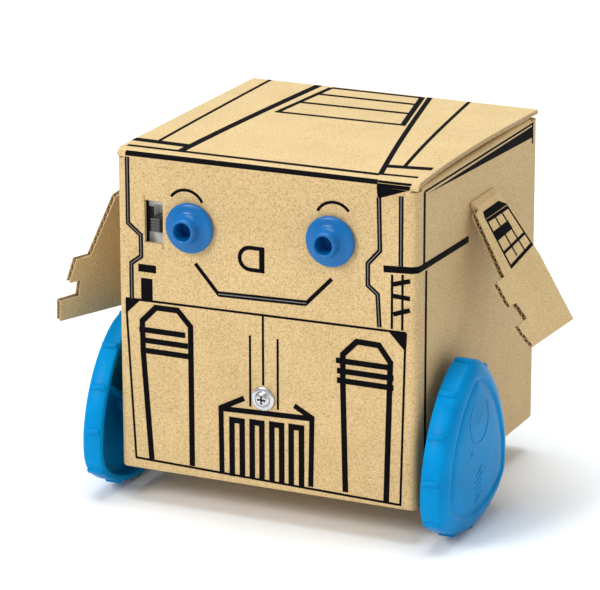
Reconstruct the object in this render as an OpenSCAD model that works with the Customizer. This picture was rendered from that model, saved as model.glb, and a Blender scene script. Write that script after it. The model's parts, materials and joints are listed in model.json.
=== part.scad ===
// Two wheel robot car: a folded carton with a face, card arms and two motor-driven wheels.

/* [Carton] */
// Width of the carton, left to right
carton_w = 118; // [116:0.5:124]
// Depth of the carton, front to back
carton_d = 115; // [114:0.5:125]
// Height of the carton with its lid closed
carton_h = 121.4; // [118:0.1:130]
// Thickness of the corrugated board
board_t = 1.6; // [1.4:0.1:1.7]
// Outer radius of the upright folds
fold_r = 2.6; // [2:0.1:4]
// Length of the tuck that hangs from the lid's rear edge
tuck_len = 14; // [8:1:14]

/* [Switch window] */
// Width of the switch window
window_w = 7.4; // [7:0.1:9]
// Height of the switch window
window_h = 16; // [14:0.5:18]
// Travel of the switch knob
knob_travel = 4; // [2:0.5:5]

/* [Eyes] */
// Diameter of an eye's flange
eye_flange_d = 18.6; // [16:0.1:20]
// How far an eye stands out of the face
eye_out = 7.6; // [6:0.1:12]
// Radius of an eye's blind hole
eye_hole_r = 3.3; // [2.5:0.1:3.6]

/* [Arms] */
// Angle between the right arm and the side wall
right_open = 35; // [20:1:60]
// Angle between the left arm and the side wall
left_open = 17.5; // [17:0.5:60]
// Turn of the left arm's crease, whose front end stands further out of its slit
left_crease = 20; // [0:1:25]
// Middle of the left arm's crease, behind the face
left_fold_y = 30.5; // [25:0.5:45]
// Height of an arm's fold above the carton's base
arm_up = 101.6; // [95:0.2:105]

/* [Wheels] */
// Constant width of a wheel's rounded-triangle rim, without its treads
wheel_size = 63.6; // [60:0.2:66]
// How much the three lobes stand out of a circle
wheel_lobe = 2.8; // [1:0.1:3.5]
// Height of a tread bar
tread_h = 1; // [0.5:0.1:1.5]
// Width of a wheel's rim band
rim_w = 7; // [5:0.5:9]
// Full thickness of a wheel with its domed face
wheel_t = 10; // [9:0.5:12]
// Gap between the side wall and a wheel's rim
wheel_gap = 4.7; // [3.5:0.1:6]
// Radius of an axle
axle_r = 1.5; // [1.2:0.1:2]
// Height of the axles above the carton's base
axle_up = 16.8; // [16:0.1:18]
// Distance of the axles behind the carton's face
axle_back = 24.3; // [24:0.1:30]

/* [Gears] */
// Teeth of the final gear and of the idler's large gear
gear_teeth = 36; // [36:1:36]
// Teeth of the motor pinion and of the idler's small gear
pinion_teeth = 12; // [12:1:12]
// Module of the final pair
final_module = 0.6; // [0.6:0.05:0.6]
// Module of the motor pair
motor_module = 0.5; // [0.5:0.05:0.5]
// Backlash of each tooth, half on each flank
backlash = 0.16; // [0.1:0.02:0.2]

/* [Hidden] */
$fn = 48;
eps = 0.01;

card = [0.76, 0.62, 0.44];
blue = [0.05, 0.42, 0.85];
steel = [0.75, 0.76, 0.78];
black = [0.08, 0.08, 0.09];
white = [0.92, 0.92, 0.9];
green = [0.1, 0.4, 0.2];
gold = [0.8, 0.62, 0.25];

half_w = carton_w / 2;
rim_r = wheel_size / 2;
base_z = rim_r - wheel_lobe + tread_h - axle_up;
front_y = (eye_out - carton_d) / 2;

lid_gap = 0.1;
lid_z = carton_h - board_t;
wall_top = lid_z - lid_gap - board_t;
dust_len = 32;
dust_y = [4, carton_d - 7];
tuck_y = carton_d - 5.5;
tuck_w = 104;

window_x = -44.2;
window_z = 95.5;
left_eye_at = [-29.2, 95.4];
right_eye_at = [26.2, 97.2];
eye_stem_r = 3.9;
eye_boss_r = 4.8;
eye_neck_r = 6.2;
eye_flange_t = 2.6;
clip_t = 2;
screw_at = [-0.7, 34.5];
screw_r = 1.5;
screw_play = 0.2;

knob_h = 5;
knob_w = 3.6;
knob_y = 1;
knob_z = window_z - 1.5;
switch_y = 4.5;
switch_d = 5.5;
switch_wall = 1.4;
board_y = switch_y + switch_d;
pcb_t = 1.6;

tab_w = 21.5;
tab_in = 12;
slit_play = 0.1;
right_fold_y = 59.15;
fold_gap = 0.9;
crease_gap = 0.7;
arm_start = 1.2;
// The arm's outline: [along the crease from its middle, away from the crease]
arm_outline = [[-tab_w / 2, arm_start], [-tab_w / 2, 2.5], [-14.1, 3.7], [-20.5, 27.7], [-27.6, 27.7],
    [-28.6, 37.5], [-23.1, 37.8], [-22.3, 44.6], [-31.5, 44.7], [-29.3, 54], [8.9, 55], [12.9, 29],
    [12.4, 6.5], [tab_w / 2, 2.5], [tab_w / 2, arm_start]];
// Each arm: [side, turn of its crease, angle to the wall, middle of its crease behind the face]
right_arm_at = [1, 0, right_open, right_fold_y];
left_arm_at = [-1, left_crease, left_open, left_fold_y];

rim_x = half_w + wheel_gap;
rim_wall = 2.2;
cup_depth = 6;
hub_r = 4.5;
hub_x = half_w + 0.6;
tread_count = 12;
tread_w = 2;
first_tread = 4.2;
// Each layer of a wheel's domed face: [how far it is inset, where it ends]
face_layers = [[0, rim_w], [1, rim_w + 1], [2.4, rim_w + 1.8], [5, wheel_t - 0.5], [9, wheel_t]];

plate_t = 2;
frame_out = half_w - board_t - 0.2;
frame_in = frame_out - 13.8;
frame_y = [12, 70];
frame_z = [board_t + plate_t, 30];
post_at = [[15, 27], [15, 6.5], [62, 27], [62, 6.5]];
foot_y = [18, 66];
foot_x = frame_in - 6.4;
post_r = 2;
running = 0.05;
idler_back = axle_back + final_module * (gear_teeth + pinion_teeth) / 2;
motor_back = idler_back + motor_module * (gear_teeth + pinion_teeth) / 2;
idler_r = 1;
shaft_r = 1;
motor_len = 25;
motor_r = 10;
motor_flat = 7.6;
motor_bore = 9;
final_x = frame_in + plate_t + 5.1;
final_w = 4;
idler_x = frame_in + plate_t + 1;
idler_w = 3;
pinion_top = frame_out - 1.8 - 0.5;
pressure = 20;
addendum = 0.85;
dedendum = 1.2;
flank_steps = 4;

skid_y = 95;
skid_r = 7;
chassis_x = 50;
chassis_y = [board_t, 110];
upright_h = 42;
cell_r = 7.2;
cell_len = 49;
cell_y = [82, 98];
cell_z = frame_z[0] + 1.6 + cell_r;
box_h = 16;
box_w = 60;
box_y = [73, 107];

// Puts a shape drawn from the carton's front bottom edge into the part's frame
module place() {
    translate([0, front_y, base_z]) children();
}

// Draws a shape made for the right side on the left side
module to_left() {
    mirror([1, 0, 0]) children();
}

// Extrudes a (y, z) outline along X, from x0 to x1
module along_x(x0, x1) {
    translate([x0, 0, 0]) rotate([90, 0, 90]) linear_extrude(x1 - x0) children();
}

// A cylinder along X at (y, z)
module rod_x(x0, x1, y, z, r) {
    translate([x0, y, z]) rotate([0, 90, 0]) cylinder(h = x1 - x0, r = r);
}

// A cylinder along Y at (x, z)
module rod_y(y0, y1, x, z, r) {
    translate([x, y0, z]) rotate([-90, 0, 0]) cylinder(h = y1 - y0, r = r);
}

// A box from one corner to the other
module block(from, to) {
    translate(from) cube(to - from);
}

// The carton's plan, inset by a distance
module carton_plan(inset) {
    r = max(fold_r - inset, 0.6);
    translate([-half_w + inset + r, inset]) square([carton_w - 2 * (inset + r), carton_d - 2 * inset]);
    translate([-half_w + inset, inset + r]) square([carton_w - 2 * inset, carton_d - 2 * (inset + r)]);
    for (x = [-1, 1])
        for (y = [inset + r, carton_d - inset - r])
            translate([x * (half_w - inset - r), y]) circle(r);
}

module carton() {
    color(card) place() difference() {
        union() {
            linear_extrude(wall_top) carton_plan(0);
            block([-half_w + fold_r, 0, wall_top - eps], [half_w - fold_r, board_t, lid_z - lid_gap]);
        }
        translate([0, 0, board_t]) linear_extrude(carton_h) carton_plan(board_t);
        block([window_x - window_w / 2, -1, window_z - window_h / 2],
            [window_x + window_w / 2, board_t + 1, window_z + window_h / 2]);
        for (eye = [left_eye_at, right_eye_at])
            rod_y(-1, board_t + 1, eye[0], eye[1], eye_stem_r);
        rod_y(-1, board_t + 1, screw_at[0], screw_at[1], screw_r + screw_play);
        rod_x(-half_w - 1, half_w + 1, axle_back, axle_up, hub_r + 0.5);
        for (at = [right_arm_at, left_arm_at])
            translate([at[0] * half_w, at[3], arm_up])
                cube([2 * board_t + 1, slit_len(at), board_t + 2 * slit_play], center = true);
        translate([0, skid_y, -1]) cylinder(h = board_t + 2, r = skid_r + 1);
    }
}

module dust_flap() {
    color(card) place()
        block([half_w - dust_len, dust_y[0], wall_top], [half_w, dust_y[1], wall_top + board_t]);
}
module right_dust_flap() dust_flap();
module left_dust_flap() to_left() dust_flap();

module lid_flap() {
    color(card) place() block([-half_w, 0, lid_z], [half_w, carton_d, carton_h]);
}

module lid_tuck() {
    color(card) place() block([-tuck_w / 2, tuck_y, lid_z - tuck_len], [tuck_w / 2, tuck_y + board_t, lid_z]);
}

// Length of an arm's slit, and of its tab along the wall
function slit_len(at) = tab_w * cos(at[1]) + 2 * slit_play;

// How far the middle of an arm's crease is from the car's middle plane
function fold_x(at) = half_w + fold_gap + tab_w / 2 * sin(at[1]);

module arm(at) {
    color(card) place() translate([at[0] * fold_x(at), at[3], arm_up])
        mirror([at[0] < 0 ? 1 : 0, 0, 0]) rotate([0, 0, at[1]]) rotate([0, -at[2], 0])
            along_x(-board_t / 2, board_t / 2)
                polygon([for (p = arm_outline) [p[0], -p[1]]]);
}
module right_arm() arm(right_arm_at);
module left_arm() arm(left_arm_at);

// The tab that passes through the slit and ends just short of the crease
module arm_tab(at) {
    half = tab_w / 2 * cos(at[1]);
    lean = tab_w / 2 * sin(at[1]);
    tip = fold_x(at) - crease_gap / cos(at[1]);
    color(card) place() translate([0, at[3], arm_up - board_t / 2]) mirror([at[0] < 0 ? 1 : 0, 0, 0])
        linear_extrude(board_t)
            polygon([[half_w - tab_in, -half], [tip + lean, -half],
                [tip - lean, half], [half_w - tab_in, half]]);
}
module right_arm_tab() arm_tab(right_arm_at);
module left_arm_tab() arm_tab(left_arm_at);

// An eye peg: radius against distance out of the face, with its stem behind the face
module eye(at) {
    flange_r = eye_flange_d / 2;
    color(blue) place() translate([at[0], 0, at[1]]) rotate([90, 0, 0]) difference() {
        rotate_extrude() polygon([[0, -6], [eye_stem_r, -6], [eye_stem_r, 0], [flange_r - 0.6, 0],
            [flange_r, 0.7], [flange_r, eye_flange_t - 0.7], [flange_r - 0.9, eye_flange_t],
            [eye_neck_r, eye_flange_t + 0.3], [eye_boss_r + 0.3, eye_flange_t + 1.6],
            [eye_boss_r, eye_out - 0.5], [eye_boss_r - 0.5, eye_out], [0, eye_out]]);
        translate([0, 0, 0.6]) cylinder(h = eye_out, r = eye_hole_r);
    }
}
module left_eye() eye(left_eye_at);
module right_eye() eye(right_eye_at);

module eye_clip(at) {
    color(blue) place() difference() {
        rod_y(board_t, board_t + clip_t, at[0], at[1], 7);
        rod_y(0, board_t + clip_t + 1, at[0], at[1], eye_stem_r);
    }
}
module left_eye_clip() eye_clip(left_eye_at);
module right_eye_clip() eye_clip(right_eye_at);

module front_screw() {
    color(steel) place() translate([screw_at[0], 0, screw_at[1]]) rotate([90, 0, 0]) difference() {
        union() {
            cylinder(h = 0.9, r = 4.5);
            cylinder(h = 2.2, r = 2.9);
            translate([0, 0, -8]) cylinder(h = 8 + eps, r = screw_r);
        }
        for (turn = [0, 90])
            rotate([0, 0, turn]) translate([-1.7, -0.35, 1.1]) cube([3.4, 0.7, 2]);
    }
}

module front_nut() {
    back = board_t + plate_t;
    color(steel) place() difference() {
        translate([screw_at[0], back, screw_at[1]]) rotate([-90, 0, 0]) cylinder(h = 2.4, r = 3.2, $fn = 6);
        rod_y(back - 1, back + 4, screw_at[0], screw_at[1], screw_r);
    }
}

module switch_body() {
    half = window_w / 2 + 0.5;
    slot = (knob_h + knob_travel) / 2 + 1.5;
    color(steel) place() difference() {
        block([window_x - half, switch_y, window_z - 10], [window_x + half, board_y, window_z + 10]);
        block([window_x - knob_w / 2 - 0.3, switch_y - 1, window_z - slot],
            [window_x + knob_w / 2 + 0.3, board_y - switch_wall, window_z + slot]);
    }
}

module switch_knob() {
    color(black) place() difference() {
        block([window_x - knob_w / 2, knob_y, knob_z - knob_h / 2],
            [window_x + knob_w / 2, board_y - switch_wall - 0.3, knob_z + knob_h / 2]);
        for (step = [-1, 0, 1])
            let (at = knob_z + step * 1.4)
                block([window_x - 3, knob_y - 1, at - 0.25], [window_x + 3, knob_y + 0.5, at + 0.25]);
    }
}

module switch_board() {
    color(green) place() {
        block([window_x - 8, board_y, window_z - 14], [window_x + 8, board_y + pcb_t, window_z + 14]);
        for (z = [-12, 12])
            rod_y(board_t, board_y, window_x, window_z + z, 1.5);
    }
}

module chassis_plate() {
    top = frame_z[0];
    color(black) place() difference() {
        union() {
            block([-chassis_x, chassis_y[0], board_t], [chassis_x, chassis_y[1], top]);
            block([-12, board_t, board_t], [12, board_t + plate_t, upright_h]);
        }
        rod_y(0, board_t + plate_t + 1, screw_at[0], screw_at[1], screw_r + screw_play);
        for (x = [-foot_x, foot_x])
            for (y = foot_y)
                translate([x, y, 0]) cylinder(h = top + 1, r = 1.25);
    }
}

module chassis_screws() {
    top = frame_z[0] + plate_t;
    color(steel) place()
        for (x = [-foot_x, foot_x])
            for (y = foot_y)
                translate([x, y, 0]) {
                    translate([0, 0, board_t]) cylinder(h = top - board_t + eps, r = 1.25);
                    translate([0, 0, top]) cylinder(h = 1.6, r = 2.4);
                }
}

module rear_skid() {
    color(black) place() translate([0, skid_y, 0]) {
        translate([0, 0, skid_r - base_z]) sphere(skid_r);
        translate([0, 0, skid_r - base_z]) cylinder(h = board_t + base_z - skid_r, r = skid_r);
    }
}

module gearbox_frame() {
    outer = frame_out - 1.8;
    color(white) place() difference() {
        union() {
            block([frame_in, frame_y[0], frame_z[0]], [frame_in + plate_t, frame_y[1], frame_z[1]]);
            block([outer, frame_y[0], frame_z[0]], [frame_out, frame_y[1], frame_z[1]]);
            for (at = post_at)
                rod_x(frame_in + 1, outer + 1, at[0], at[1], post_r);
            for (y = foot_y)
                block([foot_x - 4, y - 4, frame_z[0]], [frame_in + eps, y + 4, frame_z[0] + plate_t]);
        }
        rod_x(frame_in - 1, frame_out + 1, axle_back, axle_up, axle_r + running);
        rod_x(frame_in - 1, frame_out + 1, idler_back, axle_up, idler_r);
        rod_x(frame_in - 1, frame_in + plate_t + 1, motor_back, axle_up, 3.5);
        for (y = foot_y)
            translate([foot_x, y, 0]) cylinder(h = 10, r = 1.3);
    }
}
module right_gearbox_frame() gearbox_frame();
module left_gearbox_frame() to_left() gearbox_frame();

module idler_pin() {
    color(steel) place() rod_x(frame_in, frame_out, idler_back, axle_up, idler_r);
}
module right_idler_pin() idler_pin();
module left_idler_pin() to_left() idler_pin();

module motor() {
    color(steel) place() difference() {
        intersection() {
            rod_x(frame_in - motor_len, frame_in, motor_back, axle_up, motor_r);
            block([0, motor_back - 20, axle_up - motor_flat],
                    [half_w, motor_back + 20, axle_up + motor_flat]);
        }
        rod_x(frame_in - motor_bore, frame_in + 1, motor_back, axle_up, shaft_r + running);
    }
}
module right_motor() motor();
module left_motor() to_left() motor();

// Angle in degrees between a base-circle ray and an involute at a radius
function involute(base, r) =
    let (a = acos(min(1, base / r)))
    tan(a) * 180 / PI - a;

// Outline of an involute gear with one tooth on the +X axis
function gear_outline(m, teeth) =
    let (pitch = m * teeth / 2,
        base = pitch * cos(pressure),
        root = pitch - dedendum * m,
        tip = pitch + addendum * m,
        start = max(root, base),
        half = 90 / teeth - backlash / 4 / pitch * 180 / PI + involute(base, pitch),
        radii = [for (i = [0 : flank_steps]) start + (tip - start) * i / flank_steps])
    [for (t = [0 : teeth - 1])
        let (mid = t * 360 / teeth)
        each concat(
            [[root, mid - half]],
            [for (r = radii) [r, mid - half + involute(base, r)]],
            [for (i = [flank_steps : -1 : 0]) [radii[i], mid + half - involute(base, radii[i])]],
            [[root, mid + half]])];

// A spur gear along X; turn 0 puts a tooth towards +Y
module gear(m, teeth, x0, x1, y, turn) {
    translate([0, y, axle_up]) rotate([turn, 0, 0]) along_x(x0, x1)
        polygon([for (p = gear_outline(m, teeth)) p[0] * [cos(p[1]), sin(p[1])]]);
}

module final_gear() {
    color(white) place() difference() {
        union() {
            gear(final_module, gear_teeth, final_x, final_x + final_w, axle_back, 0);
            rod_x(final_x - 4.5, final_x, axle_back, axle_up, 3);
        }
        rod_x(final_x - 5, final_x + final_w + 1, axle_back, axle_up, axle_r);
    }
}
module right_final_gear() final_gear();
module left_final_gear() to_left() final_gear();

module idler_gear() {
    color(white) place() difference() {
        union() {
            gear(motor_module, gear_teeth, idler_x, idler_x + idler_w, idler_back, 0);
            gear(final_module, pinion_teeth, idler_x + idler_w - eps, pinion_top,
                idler_back, 180 / pinion_teeth);
        }
        rod_x(idler_x - 1, pinion_top + 1, idler_back, axle_up, idler_r + running);
    }
}
module right_idler_gear() idler_gear();
module left_idler_gear() to_left() idler_gear();

module motor_pinion() {
    color(gold) place() {
        rod_x(frame_in - motor_bore + 0.3, idler_x + idler_w + 0.8, motor_back, axle_up, shaft_r);
        gear(motor_module, pinion_teeth, idler_x, idler_x + idler_w + 0.4, motor_back, 180 / pinion_teeth);
    }
}
module right_motor_pinion() motor_pinion();
module left_motor_pinion() to_left() motor_pinion();

module axle() {
    color(steel) place() rod_x(frame_in + 0.4, rim_x + cup_depth + 1, axle_back, axle_up, axle_r);
}
module right_axle() axle();
module left_axle() to_left() axle();

// Distance of a wheel's tangent from its centre, for the tangent whose normal is at an angle
function rim_support(a, inset) = rim_r - inset + wheel_lobe * cos(3 * (a - 90));

// A point of the rim, where the normal is at an angle
// How far the rim's normal leans, at a distance along the rim from its top lobe
function rim_lean(along, lean, left) =
    left == 0 ? lean
    : let (reached = rim_r * lean * PI / 180 - 8 * wheel_lobe / 3 * sin(3 * lean),
        slope = (rim_r - 8 * wheel_lobe * cos(3 * lean)) * PI / 180)
    rim_lean(along, lean - (reached - along) / slope, left - 1);

function rim_point(a, inset) =
    let (h = rim_support(a, inset),
        slope = -3 * wheel_lobe * sin(3 * (a - 90)))
    [h * cos(a) - slope * sin(a), h * sin(a) + slope * cos(a)];

module rim_plan(inset) {
    polygon([for (a = [0 : 4 : 356]) rim_point(a, inset)]);
}

module wheel() {
    color(blue) place() translate([0, axle_back, axle_up]) difference() {
        union() {
            difference() {
                union()
                    for (layer = face_layers)
                        along_x(rim_x, rim_x + layer[1]) rim_plan(layer[0]);
                along_x(rim_x - 1, rim_x + cup_depth) rim_plan(rim_wall);
            }
            rod_x(hub_x, rim_x + cup_depth + eps, 0, 0, hub_r);
            for (i = [0 : tread_count - 1])
                let (along = first_tread + i * 2 * PI * rim_r / tread_count,
                    a = 90 + rim_lean(along, along / rim_r * 180 / PI, 8), at = rim_point(a, 0))
                    translate([rim_x, at[0], at[1]]) rotate([a, 0, 0])
                        translate([0, -tread_h, -tread_w / 2]) cube([rim_w, 2 * tread_h, tread_w]);
        }
        rod_x(hub_x - 1, rim_x + cup_depth + 1, 0, 0, axle_r);
    }
}
module right_wheel() wheel();
module left_wheel() to_left() wheel();

module battery_box() {
    floor_z = frame_z[0];
    color(black) place() difference() {
        block([-box_w / 2, box_y[0], floor_z], [box_w / 2, box_y[1], floor_z + box_h]);
        for (y = cell_y) {
            rod_x(-box_w / 2 + 3, box_w / 2 - 3, y, cell_z, cell_r + 0.2);
            block([-box_w / 2 + 3, y - cell_r - 0.2, cell_z], [box_w / 2 - 3, y + cell_r + 0.2, 40]);
        }
    }
}

module battery_cells() {
    color(steel) place()
        for (i = [0, 1])
            mirror([i, 0, 0]) {
                rod_x(-cell_len / 2, cell_len / 2, cell_y[i], cell_z, cell_r);
                rod_x(cell_len / 2 - eps, cell_len / 2 + 1.2, cell_y[i], cell_z, 2.7);
            }
}

module battery_contacts() {
    color(gold) place()
        for (x = [-1, 1])
            for (y = cell_y)
                block([min(x * 26.4, x * 26.9), y - 4, cell_z - 4],
                    [max(x * 26.4, x * 26.9), y + 4, cell_z + 5]);
}

module control_board() {
    z = frame_z[0] + box_h;
    color(green) place() {
        block([-25, box_y[0] + 2, z], [25, box_y[1] - 2, z + pcb_t]);
        block([-6, 84, z + pcb_t - eps], [6, 96, z + pcb_t + 1.6]);
        block([-22, 78, z + pcb_t - eps], [-12, 84, z + pcb_t + 6]);
        block([12, 78, z + pcb_t - eps], [22, 84, z + pcb_t + 6]);
    }
}

carton();
left_dust_flap();
right_dust_flap();
lid_flap();
lid_tuck();
left_arm();
right_arm();
left_arm_tab();
right_arm_tab();
left_eye();
right_eye();
left_eye_clip();
right_eye_clip();
front_screw();
front_nut();
switch_body();
switch_knob();
switch_board();
chassis_plate();
chassis_screws();
rear_skid();
left_gearbox_frame();
right_gearbox_frame();
left_idler_pin();
right_idler_pin();
left_motor();
right_motor();
left_motor_pinion();
right_motor_pinion();
left_idler_gear();
right_idler_gear();
left_final_gear();
right_final_gear();
left_axle();
right_axle();
left_wheel();
right_wheel();
battery_box();
battery_cells();
battery_contacts();
control_board();
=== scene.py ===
"""The looks of the two wheel robot car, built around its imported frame."""

import json
import math

import bmesh
import bpy
from mathutils import Matrix, Vector
from mathutils.geometry import tessellate_polygon
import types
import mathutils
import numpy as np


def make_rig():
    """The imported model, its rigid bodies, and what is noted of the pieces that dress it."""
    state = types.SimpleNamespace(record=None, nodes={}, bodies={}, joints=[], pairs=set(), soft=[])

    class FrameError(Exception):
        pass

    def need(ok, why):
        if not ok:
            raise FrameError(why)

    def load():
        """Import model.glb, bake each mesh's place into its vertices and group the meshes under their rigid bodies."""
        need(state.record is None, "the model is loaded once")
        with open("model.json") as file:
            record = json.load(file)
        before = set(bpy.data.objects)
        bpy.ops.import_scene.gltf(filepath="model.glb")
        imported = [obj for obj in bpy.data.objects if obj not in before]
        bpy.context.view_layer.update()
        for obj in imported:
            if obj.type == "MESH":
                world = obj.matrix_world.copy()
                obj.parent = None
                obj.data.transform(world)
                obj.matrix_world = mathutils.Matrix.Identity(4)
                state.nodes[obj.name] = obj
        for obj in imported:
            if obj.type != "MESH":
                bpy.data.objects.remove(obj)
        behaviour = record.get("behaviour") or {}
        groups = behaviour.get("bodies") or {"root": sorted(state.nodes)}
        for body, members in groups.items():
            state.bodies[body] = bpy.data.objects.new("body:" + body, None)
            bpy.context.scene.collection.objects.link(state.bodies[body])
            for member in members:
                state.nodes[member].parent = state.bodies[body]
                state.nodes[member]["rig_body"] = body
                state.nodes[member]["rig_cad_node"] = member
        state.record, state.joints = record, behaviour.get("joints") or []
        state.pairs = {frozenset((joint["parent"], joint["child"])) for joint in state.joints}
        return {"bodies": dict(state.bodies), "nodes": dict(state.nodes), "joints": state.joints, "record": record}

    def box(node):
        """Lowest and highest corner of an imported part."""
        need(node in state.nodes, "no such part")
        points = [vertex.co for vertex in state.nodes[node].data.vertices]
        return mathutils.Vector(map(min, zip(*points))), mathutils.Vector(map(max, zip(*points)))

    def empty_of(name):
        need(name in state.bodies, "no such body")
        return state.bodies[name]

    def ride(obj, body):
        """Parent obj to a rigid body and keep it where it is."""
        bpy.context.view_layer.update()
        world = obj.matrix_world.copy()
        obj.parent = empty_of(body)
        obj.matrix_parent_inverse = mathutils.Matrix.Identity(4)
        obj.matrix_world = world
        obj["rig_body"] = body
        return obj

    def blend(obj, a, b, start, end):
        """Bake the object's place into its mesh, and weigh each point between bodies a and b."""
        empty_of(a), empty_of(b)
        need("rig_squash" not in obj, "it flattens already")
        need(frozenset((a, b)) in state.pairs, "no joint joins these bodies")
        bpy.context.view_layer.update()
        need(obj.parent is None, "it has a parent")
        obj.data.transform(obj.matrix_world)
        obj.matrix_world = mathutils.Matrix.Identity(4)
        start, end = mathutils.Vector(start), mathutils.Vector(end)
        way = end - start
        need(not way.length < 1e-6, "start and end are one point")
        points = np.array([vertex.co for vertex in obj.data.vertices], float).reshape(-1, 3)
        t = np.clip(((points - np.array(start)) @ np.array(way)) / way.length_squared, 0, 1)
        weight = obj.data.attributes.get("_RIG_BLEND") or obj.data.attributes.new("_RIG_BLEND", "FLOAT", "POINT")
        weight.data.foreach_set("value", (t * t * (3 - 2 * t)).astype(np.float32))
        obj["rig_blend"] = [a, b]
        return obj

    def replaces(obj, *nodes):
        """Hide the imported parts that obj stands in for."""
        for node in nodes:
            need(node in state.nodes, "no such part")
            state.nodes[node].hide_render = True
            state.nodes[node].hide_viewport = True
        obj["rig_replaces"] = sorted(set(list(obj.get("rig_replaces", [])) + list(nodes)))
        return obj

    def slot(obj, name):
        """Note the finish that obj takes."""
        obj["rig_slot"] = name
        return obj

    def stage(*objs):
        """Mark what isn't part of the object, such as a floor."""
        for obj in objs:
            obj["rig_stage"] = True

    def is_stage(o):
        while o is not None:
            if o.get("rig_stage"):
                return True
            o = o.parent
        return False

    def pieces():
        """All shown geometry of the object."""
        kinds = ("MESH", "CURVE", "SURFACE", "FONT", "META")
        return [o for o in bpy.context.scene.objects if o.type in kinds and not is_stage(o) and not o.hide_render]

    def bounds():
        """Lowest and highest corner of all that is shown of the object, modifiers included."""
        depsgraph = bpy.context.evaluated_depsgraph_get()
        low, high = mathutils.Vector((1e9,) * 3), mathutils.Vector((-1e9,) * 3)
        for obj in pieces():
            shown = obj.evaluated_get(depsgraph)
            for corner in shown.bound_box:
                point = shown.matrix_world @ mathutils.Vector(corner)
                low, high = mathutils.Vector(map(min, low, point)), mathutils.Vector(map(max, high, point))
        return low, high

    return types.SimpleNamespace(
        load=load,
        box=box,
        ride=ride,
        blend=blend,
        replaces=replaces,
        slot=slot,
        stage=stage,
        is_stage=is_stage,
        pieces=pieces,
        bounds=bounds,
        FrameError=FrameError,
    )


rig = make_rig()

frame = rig.load()
cad_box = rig.bounds()

# ---------------------------------------------------------------- sizes, in millimetres
MM = 0.001
carton_low, carton_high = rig.box("carton")
lid_low, lid_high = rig.box("lid_flap")
HALF_W = carton_high.x / MM
DEPTH = (carton_high.y - carton_low.y) / MM
LID_TOP = (lid_high.z - carton_low.z) / MM
WALL_TOP = (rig.box("right_dust_flap")[0].z - carton_low.z) / MM
BOARD = (lid_high.z - lid_low.z) / MM
FOLD = 2.6
FOLD_TOP = LID_TOP - FOLD
FLUTE = 3.13
LINER = 0.3
INK = 0.05
QUARTER = FOLD * math.pi / 2
FRONT_EDGE = HALF_W - FOLD


def at(x, y, z):
    """A point in metres, from millimetres measured from the carton's front bottom edge."""
    return Vector((x * MM, carton_low.y + y * MM, carton_low.z + z * MM))


def box_of(node):
    """A CAD part's two corners, in the millimetres of at()."""
    return [tuple((corner - Vector((0, carton_low.y, carton_low.z))) / MM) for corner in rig.box(node)]


# ---------------------------------------------------------------- materials
def new_material(name):
    """A material with its node tree, and a function that adds a node."""
    material = bpy.data.materials.new(name)
    material.use_nodes = True
    tree = material.node_tree
    shader = tree.nodes["Principled BSDF"]

    def node(kind, links=None, **values):
        made = tree.nodes.new(kind)
        for key, value in values.items():
            setattr(made, key, value)
        for socket, source in (links or {}).items():
            if isinstance(source, bpy.types.NodeSocket):
                tree.links.new(source, made.inputs[socket])
            else:
                made.inputs[socket].default_value = source
        return made

    return material, tree, shader, node


def ramp(node, source, stops):
    """A colour ramp with (position, colour) stops."""
    made = node("ShaderNodeValToRGB", {"Fac": source})
    elements = made.color_ramp.elements
    for i, (position, colour) in enumerate(stops):
        element = elements[i] if i < 2 else elements.new(position)
        element.position = position
        element.color = (*colour, 1)
    return made.outputs["Color"]


def mix(node, kind, factor, a, b):
    """Blends colours a and b."""
    made = node("ShaderNodeMix", data_type="RGBA", blend_type=kind)
    tree = made.id_data
    for index, source in ((0, factor), (6, a), (7, b)):
        if isinstance(source, bpy.types.NodeSocket):
            tree.links.new(source, made.inputs[index])
        else:
            made.inputs[index].default_value = source
    return made.outputs[2]


def noise(node, scale, detail=2.0, coordinates=None, roughness=0.5):
    """Noise in object coordinates, whose scale is per metre."""
    links = {"Scale": scale, "Detail": detail, "Roughness": roughness}
    links["Vector"] = coordinates or node("ShaderNodeTexCoord").outputs["Object"]
    return node("ShaderNodeTexNoise", links).outputs["Fac"]


def stretched(node, scale):
    """Object coordinates scaled differently along each axis."""
    source = node("ShaderNodeTexCoord").outputs["Object"]
    return node("ShaderNodeMapping", {"Vector": source, "Scale": scale}).outputs["Vector"]


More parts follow.
